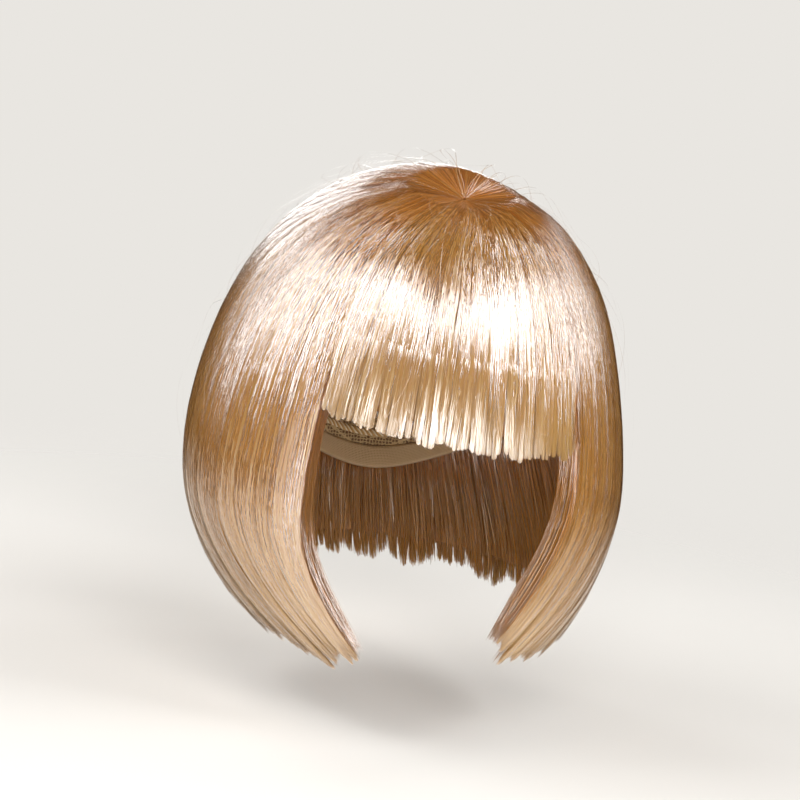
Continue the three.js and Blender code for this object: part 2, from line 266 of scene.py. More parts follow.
@dataclass(frozen=True)
class StretchNet(Finish):
    """Polyamide stretch net, warp-knitted: matt threads round small open cells."""

    name: str = "polyamide_stretch_net"
    thread: str = "#C9A878"
    cell_shade: str = "#6E4C28"
    cell: float = 1.8 * MM
    roughness: float = 0.75
    ior: float = 1.53

    def surface(self, shade: Shading) -> Links:
        """Lays threads between cells that show the shade behind them."""
        cells = {"Vector": shade.place(), "Scale": 1 / self.cell, "Randomness": 0.35}
        to_thread = shade.add("TexVoronoi", "Distance", cells, feature="DISTANCE_TO_EDGE")
        fade = {"Value": to_thread, "From Min": 0.1, "From Max": 0.2, "To Min": 1.0, "To Max": 0.0}
        thread = shade.add("MapRange", "Result", fade)
        colour = shade.ramp(thread, (0.0, self.cell_shade), (1.0, self.thread))
        return {"Base Color": colour, "Normal": shade.bump(thread, strength=1.0, depth=0.3 * MM)}


@dataclass(frozen=True)
class WovenElastic(Finish):
    """Woven elastic tape of polyester over rubber: fine cross ribs with a soft, dull face."""

    name: str = "woven_elastic"
    rib: str = "#E2C397"
    # groove: painted shade in the grooves between the ribs
    groove: str = "#A67D4C"
    rib_pitch: float = 1.4 * MM
    roughness: float = 0.8
    ior: float = 1.5
    sheen: float = 0.2

    def surface(self, shade: Shading) -> Links:
        """Lays ribs across the tape and a softer weave along it, with painted shade in the grooves."""
        flow = shade.flow()
        ribs, rows = (
            shade.add(
                "TexWave", "Fac", {"Vector": flow, "Scale": WAVE_TURN / self.rib_pitch, "Distortion": wander},
                bands_direction=way,
            )
            for way, wander in (("X", 0.4), ("Y", 0.6))
        )
        weave = shade.add("Math", "Value", {0: ribs, 1: rows}, operation="ADD")
        colour = shade.ramp(weave, (0.15, self.groove), (0.8, self.rib))
        relief = shade.bump(weave, strength=0.7, depth=0.25 * MM)
        return {"Base Color": colour, "Sheen Weight": self.sheen, "Normal": relief}


@dataclass(frozen=True)
class WeftTape(Finish):
    """Polyester weft tape, folded and machine-stitched: dull cloth with a row of thread stitches."""

    name: str = "polyester_weft_tape"
    cloth: str = "#C79B60"
    thread: str = "#F0E0BF"
    stitch: float = 2.4 * MM
    roughness: float = 0.82
    ior: float = 1.54

    def surface(self, shade: Shading) -> Links:
        """Lays stitches across the cloth."""
        seam = {"Vector": shade.flow(), "Scale": WAVE_TURN / self.stitch, "Distortion": 1.5, "Detail": 1.0}
        stitches = shade.add("TexWave", "Fac", seam, bands_direction="DIAGONAL")
        colour = shade.ramp(stitches, (0.5, self.cloth), (0.85, self.thread))
        return {"Base Color": colour, "Normal": shade.bump(stitches, strength=0.8, depth=0.4 * MM)}


@dataclass(frozen=True)
class SkinPatch(Finish):
    """Thin cast polyurethane over lace: a warm, slightly waxy skin with a dot at each knot of hair."""

    name: str = "polyurethane_skin"
    skin: str = "#C98A4C"
    knot: str = "#7A4517"
    knot_spacing: float = 1.3 * MM
    roughness: float = 0.5
    ior: float = 1.5
    wax: float = 0.15

    def surface(self, shade: Shading) -> Links:
        """Dots the waxy skin with knots."""
        spots = {"Vector": shade.place(), "Scale": 1 / self.knot_spacing, "Randomness": 0.5}
        dots = shade.add("TexVoronoi", "Distance", spots)
        colour = shade.ramp(dots, (0.18, self.knot), (0.34, self.skin))
        relief = shade.bump(dots, strength=0.4, depth=0.2 * MM)
        return {"Base Color": colour, "Coat Weight": self.wax, "Normal": relief}


@dataclass(frozen=True)
class StudioPaper(Finish):
    """Pale matt backdrop paper, which fades into the same pale surround."""

    name: str = "backdrop_paper"
    paper: str = "#DCD9D4"
    fade_from: float = 0.24
    fade_to: float = 0.6
    roughness: float = 0.9
    ior: float = 1.5
    specular: float = 0.1

    def surface(self, shade: Shading) -> Links:
        """Fades the paper out from fade_from to fade_to from its middle."""
        out = shade.add("VectorMath", "Value", {0: shade.place()}, operation="LENGTH")
        fade = {
            "Value": out, "From Min": self.fade_from, "From Max": self.fade_to, "To Min": 1.0, "To Max": 0.0,
        }
        kept = shade.add("MapRange", "Result", fade, interpolation_type="SMOOTHSTEP")
        return {"Base Color": linear(self.paper), "Specular IOR Level": self.specular, "Alpha": kept}


@dataclass(frozen=True)
class HeadForm:
    """The hollow that the cap encloses: an ellipsoid with squared-off curves."""

    breadth: float = 150 * MM
    length: float = 188 * MM
    centre_drop: float = 90 * MM
    lower_depth: float = 112 * MM
    squareness: float = 2.3
    rim_front: float = 56 * MM
    rim_ear: float = 104 * MM
    rim_nape: float = 155 * MM
    rim_curve: float = 1.6

    def half_sizes(self, height: Array, offset: Array) -> tuple[Array, Array]:
        """Gives half the breadth and length of the form, grown by offset, at a height above its centre."""
        depth = np.where(height > 0, self.centre_drop, self.lower_depth) + offset
        share = np.minimum(np.abs(height) / depth, 1)
        left = (1 - share ** self.squareness) ** (1 / self.squareness)
        return (self.breadth / 2 + offset) * left, (self.length / 2 + offset) * left

    def point(self, angle: Array, turn: Array, offset: Array) -> Array:
        """Gives points on the form.

        Args:
            angle: radians round it from the front.
            turn: radians down from its crown.
            offset: how far the form is grown.
        Returns:
            One point for each angle and turn.
        """
        depth = np.where(turn < math.pi / 2, self.centre_drop, self.lower_depth) + offset
        height = depth * np.cos(turn)
        half_x, half_y = self.half_sizes(height, offset)
        power = self.squareness
        bulge = (np.abs(np.sin(angle)) ** power + np.abs(np.cos(angle)) ** power) ** (-1 / power)
        x = half_x * bulge * np.sin(angle)
        y = -half_y * bulge * np.cos(angle)
        return np.stack(np.broadcast_arrays(x, y, height - self.centre_drop), -1)

    def depth_to(self, points: Array, offset: float) -> Array:
        """Gives how far points are outside the form grown by offset, along the line to its middle."""
        x, y, z = points[..., 0], points[..., 1], points[..., 2] + self.centre_drop
        power = self.squareness
        above = (
            (np.abs(x) / (self.breadth / 2 + offset)) ** power
            + (np.abs(y) / (self.length / 2 + offset)) ** power
            + (np.maximum(z, 0) / (self.centre_drop + offset)) ** power
        ) ** (1 / power)
        half_x, half_y = self.half_sizes(np.minimum(z, 0), offset)
        beside = (
            (np.abs(x) / np.maximum(half_x, MM)) ** power + (np.abs(y) / np.maximum(half_y, MM)) ** power
        ) ** (1 / power)
        high = np.sqrt(x * x + y * y + z * z) * (1 - 1 / above)
        return np.where(z > 0, high, np.hypot(x, y) * (1 - 1 / beside))

    def rim_drop(self, angle: Array) -> Array:
        """Gives the drop of the cap's rim at angles round it, in radians from the front."""
        turn = np.cos(angle)
        end = np.where(turn > 0, self.rim_front, self.rim_nape)
        return self.rim_ear + (end - self.rim_ear) * np.abs(turn) ** self.rim_curve

    def turn_at_drop(self, drop: Array) -> Array:
        """Gives the turn down from the crown, in radians, at which the form has dropped that far."""
        height = self.centre_drop - drop
        return np.arccos(height / np.where(height > 0, self.centre_drop, self.lower_depth))


@dataclass(frozen=True)
class Section:
    """One level of the hair's outer surface, as shares of how far the hair reaches and of its heights."""

    front: float
    front_z: float
    side: float
    side_z: float
    back: float
    back_z: float
    root_y: float
    lean: float


@dataclass(frozen=True)
class FrontTips:
    """The front of one side: the drop of its tips, how far they sweep forward, and over what length."""

    tip_drop: float
    sweep: float
    sweep_length: float


SECTIONS = (
    Section(0.1, 0.56, 0.08, 0.6, 0.06, 0.8, 1.0, 0.035),
    Section(0.34, 0.56, 0.26, 0.77, 0.17, 1.08, 1.0, 0.03),
    Section(0.57, 0.24, 0.47, 0.38, 0.34, 1.0, 0.93, 0.005),
    Section(0.76, -0.03, 0.65, -0.035, 0.53, 0.71, 0.72, -0.02),
    Section(0.9, -0.115, 0.78, -0.125, 0.7, 0.22, 0.45, -0.025),
    Section(0.975, -0.215, 0.87, -0.23, 0.845, -0.06, 0.22, -0.025),
    Section(1.0, -0.325, 0.935, -0.34, 0.94, -0.175, 0.08, -0.02),
    Section(0.995, -0.44, 0.98, -0.45, 0.99, -0.3, 0.0, -0.01),
    Section(0.99, -0.55, 1.0, -0.56, 1.0, -0.43, 0.0, 0.0),
    Section(0.985, -0.66, 0.97, -0.67, 0.975, -0.56, 0.0, 0.005),
    Section(0.965, -0.77, 0.89, -0.775, 0.895, -0.685, 0.0, 0.02),
    Section(0.925, -0.87, 0.765, -0.87, 0.765, -0.795, 0.0, 0.04),
    Section(0.85, -0.96, 0.59, -0.955, 0.6, -0.89, 0.0, 0.055),
)


def smooth_curve(points: Array, steps: int) -> Array:
    """Samples a centripetal Catmull-Rom curve.

    Args:
        points: the points that it goes through.
        steps: samples for each span between two points.
    Returns:
        The samples, evenly spread over the spans.
    """
    points = np.vstack([2 * points[0] - points[1], points, 2 * points[-1] - points[-2]])
    hop, leap = np.diff(points, axis=0), points[2:] - points[:-2]
    gap = np.sqrt(np.linalg.norm(hop, axis=1, keepdims=True))
    slope = hop[:-1] / gap[:-1] - leap / (gap[:-1] + gap[1:]) + hop[1:] / gap[1:]
    spans = (gap[1:-1] * slope[:-1], gap[1:-1] * slope[1:], hop[1:-1])
    start, finish, hop = (span[:, None] for span in spans)
    t = np.linspace(0, 1, steps, endpoint=False)[None, :, None]
    curve = start * t + (3 * hop - 2 * start - finish) * t ** 2 + (start + finish - 2 * hop) * t ** 3
    curve = points[1:-2, None] + curve
    return np.vstack([curve.reshape(-1, points.shape[1]), points[-2]])


@dataclass
class Silhouette:
    """The hair's outer surface from the whorl to the longest tips, and the fibres that lie along it."""

    head: HeadForm = field(default_factory=HeadForm)
    whorl_forward: float = 25 * MM
    side_volume: float = 42 * MM
    front_volume: float = 23 * MM
    back_volume: float = 30 * MM
    top_volume: float = 25.5 * MM
    bob_drop: float = 240 * MM
    nape_drop: float = 206 * MM
    fringe_drop: float = 96 * MM
    fringe_slant: float = 5 * MM
    fringe_corner: float = 5 * MM
    face_corner: float = 10 * MM
    corner_width: float = 25
    fringe_edge: float = 37
    hair_seat: float = 2.85 * MM
    whorl_height: float = 16 * MM
    whorl_throat: float = 0.06  # of the surface's narrowest ring, how wide the fibres are where they start
    whorl_share: float = 0.07  # of the way down, where they have opened out
    tip_thickness: float = 6 * MM
    edge_thickness: float = 11 * MM
    wall_taper: float = 0.2
    left_front: FrontTips = FrontTips(209 * MM, 22, 110 * MM)
    right_front: FrontTips = FrontTips(223 * MM, 18, 80 * MM)
    curve_steps: int = 24

    def __post_init__(self) -> None:
        """Samples the front, side and back curves and the lean of the surface."""
        reach_front = self.head.length / 2 + self.front_volume - self.whorl_forward
        reach_side = self.head.breadth / 2 + self.side_volume
        reach_back = self.head.length / 2 + self.back_volume + self.whorl_forward
        self.front = self._curve(lambda s: (0, -self.whorl_forward - s.front * reach_front, s.front_z))
        self.side = self._curve(lambda s: (s.side * reach_side, -s.root_y * self.whorl_forward, s.side_z))
        self.lean = self._curve(lambda s: (s.lean * reach_side, -s.root_y * self.whorl_forward, s.side_z))
        self.back = self._curve(lambda s: (0, -self.whorl_forward + s.back * reach_back, s.back_z))

    def _curve(self, place: Callable[[Section], tuple[float, float, float]]) -> Array:
        """Samples one curve down the surface from the places of its sections."""
        points = np.array([place(section) for section in SECTIONS], float)
        points[:, 2] *= np.where(points[:, 2] > 0, self.top_volume, self.bob_drop)
        return smooth_curve(points, self.curve_steps)

    @staticmethod
    def _at(curve: Array, share: Array, axis: int) -> Array:
        """Reads one coordinate of a sampled curve at shares of its length."""
        return np.interp(share, np.linspace(0, 1, len(curve)), curve[:, axis])

    def surface(self, angle: Array, share: Array) -> Array:
        """Gives points of the outer surface at angles round the whorl, in radians, and shares down."""
        turn = np.cos(angle)
        side_y, side_z = self._at(self.side, share, 1), self._at(self.side, share, 2)
        end_y = np.where(turn > 0, self._at(self.front, share, 1), self._at(self.back, share, 1))
        end_z = np.where(turn > 0, self._at(self.front, share, 2), self._at(self.back, share, 2))
        x = self._at(self.lean, share, 0) + self._at(self.side, share, 0) * np.sin(angle)
        y = side_y + (end_y - side_y) * np.abs(turn)
        z = side_z + (end_z - side_z) * turn * turn
        return np.stack([x, y, z], -1)

    def fibre(self, angle: Array, share: Array) -> Array:
        """Gives points of the fibres that leave the whorl at those angles, in radians, at shares down.

        They rise out of the whorl's middle, and near their tips they sweep forward.
        """
        turn = np.sin(angle)
        left = turn > 0
        tip_drop = np.where(left, self.left_front.tip_drop, self.right_front.tip_drop)
        length = np.where(left, self.left_front.sweep_length, self.right_front.sweep_length)
        sweep = np.radians(np.where(left, self.left_front.sweep, self.right_front.sweep))
        above = tip_drop + self.surface(angle, share)[..., 2]
        near = np.clip(1 - above / length, 0, 1)
        forward = sweep * near ** 2 * turn / math.sin(math.radians(self.fringe_edge))
        swept = self.surface(angle - forward, share)
        whorl = np.array([self.lean[0, 0], -self.whorl_forward, self.whorl_height])
        open_out = self.whorl_throat + (1 - self.whorl_throat) * smoothstep(share, -0.01, self.whorl_share)
        return whorl + (swept - whorl) * open_out[..., None]

    def outward(self, angle: Array, share: Array) -> Array:
        """Gives the directions square to the surface, outwards."""
        across = self.fibre(angle + ASIDE, share) - self.fibre(angle - ASIDE, share)
        low = np.clip(share, ASIDE, 1 - ASIDE)
        down = self.fibre(angle, low + ASIDE) - self.fibre(angle, low - ASIDE)
        return unit(np.cross(down, across))

    def share_at_drop(self, angle: Array, drop: Array) -> Array:
        """Gives the share of the way down at which the fibres at those angles have dropped that far."""
        low, high = np.zeros(np.shape(angle)), np.ones(np.shape(angle))
        for _ in range(16):
            middle = (low + high) / 2
            is_above = self.fibre(angle, middle)[..., 2] > -drop
            low, high = np.where(is_above, middle, low), np.where(is_above, high, middle)
        return high

    def cut(self, degrees: Array, edge: Edge) -> Array:
        """Gives the drop of the cut line at angles round the whorl, in degrees from the front."""
        if edge is Edge.FRINGE:
            share = degrees / self.fringe_edge
            return self.fringe_drop + self.fringe_slant * share - self.fringe_corner * share ** 4
        is_left = (degrees > 0) & (degrees < 180)
        tips = np.where(is_left, self.left_front.tip_drop, self.right_front.tip_drop)
        from_front = np.where(degrees > 180, 360 - degrees, np.abs(degrees))
        behind = smoothstep(from_front, self.fringe_edge, 180)
        corner = 1 - smoothstep(from_front, self.fringe_edge, self.fringe_edge + self.corner_width)
        return tips + (self.nape_drop - tips) * behind - self.face_corner * corner

    def thickness(self, angle: Array, share: Array, end: Array) -> Array:
        """Gives how thick the hair is under points of its surface.

        Args:
            angle: radians round the whorl.
            share: shares of the way down.
            end: the share at which each fibre ends.
        Returns:
            The thickness of the wall of hair at each point.
        """
        point = self.fibre(angle, share)
        to_tip = np.linalg.norm(point - self.fibre(angle, end), axis=-1)
        from_tip = self.tip_thickness + self.wall_taper * to_tip
        above = np.maximum(point[..., 2] + self.fringe_drop, 0)
        edge = math.radians(self.fringe_edge)
        front_edge = self.fibre(np.sign(np.sin(angle)) * edge, share)
        beside = np.hypot(above, np.linalg.norm(point - front_edge, axis=-1))
        to_front = np.where(np.cos(angle) < math.cos(edge), beside, above)
        at_edge = self.edge_thickness + self.wall_taper * to_front
        return np.minimum(np.minimum(self.head.depth_to(point, self.hair_seat), from_tip), at_edge)


def add_object(name: str, data: bpy.types.ID) -> bpy.types.Object:
    """Links an object with that data into the scene."""
    made = bpy.data.objects.new(name, data)
    bpy.context.scene.collection.objects.link(made)
    return made


def add_mesh(name: str, mesh: Mesh, material: Material) -> bpy.types.Object:
    """Links a mesh into the scene with one material and smooth faces."""
    mesh.materials.append(material)
    mesh.polygons.foreach_set("use_smooth", np.ones(len(mesh.polygons), bool))
    return add_object(name, mesh)


def add_piece(
    name: str, mesh: Mesh, material: Material, slot: Slot, *nodes: str
) -> None:
    """Adds a piece that rides on the wig, in place of CAD nodes."""
    made = add_mesh(name, mesh, material)
    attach(made, "root")
    if nodes:
        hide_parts(*nodes)
    LOG.info("%s: %d faces", name, len(mesh.polygons))


@dataclass
class Strands:
    """Tapered strands of fibre with the same number of points: fine ribbons, shaded as round fibres."""

    path: Array  # strands, points, 3
    outward: Array  # strands, points, 3
    width: Array  # strands, points
    tone: Array  # strands
    along: Array  # strands, points: 0 at the root to 1 at the tip
    roundness: float = 24  # how far the gloss turns round a strand, to each side
    unevenness: float = 6  # how far the gloss of the lightest and darkest strands leans up or down

    def mesh(self, name: str) -> Mesh:
        """Builds the mesh of every strand, with its map, tones and gloss directions."""
        count, points = self.width.shape
        tangent = unit(np.gradient(self.path, axis=1))
        side = unit(np.cross(tangent, self.outward))
        half = side * self.width[..., None] / 2
        corners = np.stack([self.path + half, self.path - half], 2)
        ring = np.arange(count * points).reshape(count, points)[:, :, None] * 2 + np.arange(2)
        faces = np.stack(
            [ring[:, :-1, 1], ring[:, :-1, 0], ring[:, 1:, 0], ring[:, 1:, 1]], -1
        ).reshape(-1, 4)

        mesh = bpy.data.meshes.new(name)
        mesh.vertices.add(corners.size // 3)
        mesh.vertices.foreach_set("co", corners.ravel().astype(np.float32))
        mesh.loops.add(faces.size)
        mesh.loops.foreach_set("vertex_index", faces.ravel().astype(np.int32))
        mesh.polygons.add(len(faces))
        mesh.polygons.foreach_set("loop_start", (np.arange(len(faces)) * 4).astype(np.int32))
        mesh.update(calc_edges=True)
        self._map(mesh, count, points)
        self._tint(mesh)
        lean = math.radians(self.roundness)
        pitch = np.radians(self.unevenness * (self.tone - 0.5) * 2)[:, None, None]
        out = (np.cross(side, tangent) * np.cos(pitch) + tangent * np.sin(pitch)) * math.cos(lean)
        left, right = out + side * math.sin(lean), out - side * math.sin(lean)
        turned = np.stack([right[:, :-1], left[:, :-1], left[:, 1:], right[:, 1:]], 2)
        mesh.normals_split_custom_set(turned.reshape(-1, 3).tolist())
        return mesh

    def _map(self, mesh: Mesh, count: int, points: int) -> None:
        """Gives every strand its own strip of the map for baking."""
        slimness = 8  # of each strip, its height by its width
        columns = math.ceil(math.sqrt(count * slimness))
        rows = math.ceil(count / columns)
        column, row = np.arange(count) % columns, np.arange(count) // columns
        v = (row[:, None] + 0.04 + 0.9 * np.linspace(0, 1, points)) / rows
        left, right = (
            np.repeat(((column + edge) / columns)[:, None], points - 1, 1) for edge in (0.05, 0.95)
        )
        corners = np.stack([left, v[:, :-1], right, v[:, :-1], right, v[:, 1:], left, v[:, 1:]], -1)
        mesh.uv_layers.new(name=BAKE_UV).uv.foreach_set("vector", corners.ravel().astype(np.float32))

    def _tint(self, mesh: Mesh) -> None:
        """Writes each strand's tone, and the place along it, for the fibre's material."""
        tone = np.broadcast_to(self.tone[:, None], self.along.shape)
        for name, values in (("tone", tone), ("along", self.along)):
            attribute = mesh.attributes.new(name, "FLOAT", "POINT")
            attribute.data.foreach_set("value", np.repeat(values.ravel(), 2).astype(np.float32))


def closed_wall(name: str, outer: Array, inner: Array, is_ring: bool = False) -> Mesh:
    """Builds a closed wall between two grids of points, with a map in metres and a map for baking.

    Args:
        name: the mesh's name.
        outer: the outer grid, rows by columns by 3.
        inner: the inner grid, of the same size.
        is_ring: whether the last column meets the first.
    Returns:
        The mesh.
    """
    rows, columns = outer.shape[:2]
    cells, last = columns if is_ring else columns - 1, rows - 1
    row, column = (axis.ravel() for axis in np.indices((last, cells)))
    outside = [(0, row, column), (0, row + 1, column), (0, row + 1, column + 1), (0, row, column + 1)]
    inside = [(1, *place[1:]) for place in reversed(outside)]
    across, down = np.arange(cells), np.arange(last)
    walls = [
        [(0, 0, across), (0, 0, across + 1), (1, 0, across + 1), (1, 0, across)],
        [(0, last, across + 1), (0, last, across), (1, last, across), (1, last, across + 1)],
    ]
    if not is_ring:
        walls += [
            [(0, down + 1, 0), (0, down, 0), (1, down, 0), (1, down + 1, 0)],
            [(0, down, cells), (0, down + 1, cells), (1, down + 1, cells), (1, down, cells)],
        ]
    corners = np.concatenate([
        np.stack([np.stack(np.broadcast_arrays(*place), -1) for place in face], 1)
        for face in (outside, inside, *walls)
    ])
    side, row, column = np.moveaxis(corners, -1, 0)
    faces = side * rows * columns + row * columns + column % columns
    mesh = bpy.data.meshes.new(name)
    points = np.concatenate([outer.reshape(-1, 3), inner.reshape(-1, 3)])
    mesh.from_pydata(points.tolist(), [], faces.tolist())

    closed = np.concatenate([outer, outer[:, :1]], 1)
    width = np.cumsum(np.pad(np.linalg.norm(np.diff(closed, axis=1), axis=-1).max(0), (1, 0)))
    height = np.cumsum(np.pad(np.linalg.norm(np.diff(outer, axis=0), axis=-1).mean(1), (1, 0)))
    flow = np.stack([width[column] + side * width[-1], height[row]], -1)
    baked = np.stack([0.01 + 0.5 * side + 0.47 * column / cells, 0.02 + 0.96 * row / last], -1)
    for label, values in ((BAKE_UV, baked), ("flow", flow)):
        layer = mesh.uv_layers.new(name=label)
        layer.uv.foreach_set("vector", values.ravel().astype(np.float32))
    return mesh


@dataclass(frozen=True)
class Lining:
    """The strands on the underside of a field of hair and along its two sides."""

    strands: int = 900
    points: int = 9
    width: float = STRAND_WIDTH
    edge_share: float = 0.4  # of the strands, how many hang along the field's two sides
    start: float = 6 * MM  # above the cap's rim
    cut: float = 3 * MM  # how far they are cut back, on average
    least: float = 2 * MM  # the least depth under the surface
    spread: float = 0.02  # radians, how far they lean aside
    lift: float = 0.3 * MM
    # the lining's low mean tone is painted shade of the underside
    shade: float = 0.32
    tones: float = 0.18

    def hang(self, part: "HairField", hull: Silhouette, rng: Random) -> Strands:
        """Hangs the strands of the underside, from the cap's rim to the tips.

        Args:
            part: the field of hair that they belong to.
            hull: the surface whose wall of hair they line.
            rng: the seeded source of their variety.
        Returns:
            The strands.
        """
        count = self.strands
        is_edge = rng.uniform(0, 1, count) < self.edge_share
        at_start = rng.uniform(0, 1, count) < 0.5
        inset = rng.uniform(0, 0.04, count)
        edge = np.where(at_start, inset, part.locks - inset)
        place = np.where(is_edge, edge, rng.uniform(0.03, part.locks - 0.03, count))
        is_edge, aside = is_edge[:, None], np.where(at_start, -ASIDE, ASIDE)[:, None]
        home = part.angle_at(place)
        end = part.end_at(hull, place, rng.exponential(self.cut, count))
        rim = hull.share_at_drop(home, hull.head.rim_drop(home) - self.start)
        root = rim + np.maximum(end - rim, 0.05) * rng.uniform(0, 0.3, count)

        t = np.linspace(0, 1, self.points)[None]
        share = root[:, None] + (end - root)[:, None] * t
        angle = home[:, None] + rng.normal(0, self.spread, count)[:, None] * t
        out, path = hull.outward(angle, share), hull.fibre(angle, share)
        room = hull.thickness(angle, share, end[:, None])
        layer = rng.uniform(0.2, 2, count)[:, None] * MM
        depth = np.maximum(room - layer, self.least) * (1 - 0.5 * t ** 4)
        depth = np.where(is_edge, room * rng.uniform(0.02, 1, count)[:, None], depth)
        sideways = unit(hull.fibre(angle + aside, share) - path)
        facing = np.where(is_edge[..., None], sideways, -out)
        path = path - out * depth[..., None] + facing * self.lift
        width = self.width * rng.uniform(1, 1.8, count)[:, None] * (1 - 0.8 * smoothstep(t, 0.8, 1))
        tone = self.shade + self.tones * rng.standard_normal(count)
        # the place along stays off the pale painted light of the tips, so the underside stays in painted
        # shade
        along = np.broadcast_to(0.1 + 0.6 * t, share.shape)
        return Strands(path, facing, width, np.clip(tone, 0, 1), along)


@dataclass(frozen=True)
class Bed:
    """The packed fibre under the top strands of a field of hair."""

    depth: float = 1 * MM
    inset: float = 0.6 * MM
    least_wall: float = 0.4 * MM  # its least thickness at the tips
    crown: float = 2 * MM  # how much thicker than that it is at the whorl, at least
    short: float = 11 * MM  # how far it ends above the cut line
    rows: int = 44
    columns: int = 7

    def wall(self, part: "HairField", hull: Silhouette) -> Mesh:
        """Builds the closed wall of packed fibre under the strands."""
        place = np.linspace(0, part.locks, part.locks * self.columns + 1)
        lift, _ = part.section(place - np.minimum(np.floor(place), part.locks - 1))
        angles = part.angle_at(place)
        end = hull.share_at_drop(angles, hull.cut(np.degrees(angles), part.edge) - self.short)
        share = end[None] * np.linspace(0.02, 1, self.rows)[:, None]
        angle = np.broadcast_to(angles, share.shape)
        out, point = hull.outward(angle, share), hull.fibre(angle, share)
        room = hull.thickness(angle, share, end[None])
        outer = self.depth + part.lock_round * (1 - lift)[None] + self.inset
        thin = outer + self.least_wall
        upper = self.crown * np.linspace(1, 0, self.rows)[:, None]
        inner = np.minimum(np.maximum(room - self.inset, thin + upper), np.maximum(room, thin))
        return closed_wall(part.name + "_bed", point - out * outer[..., None], point - out * inner[..., None])


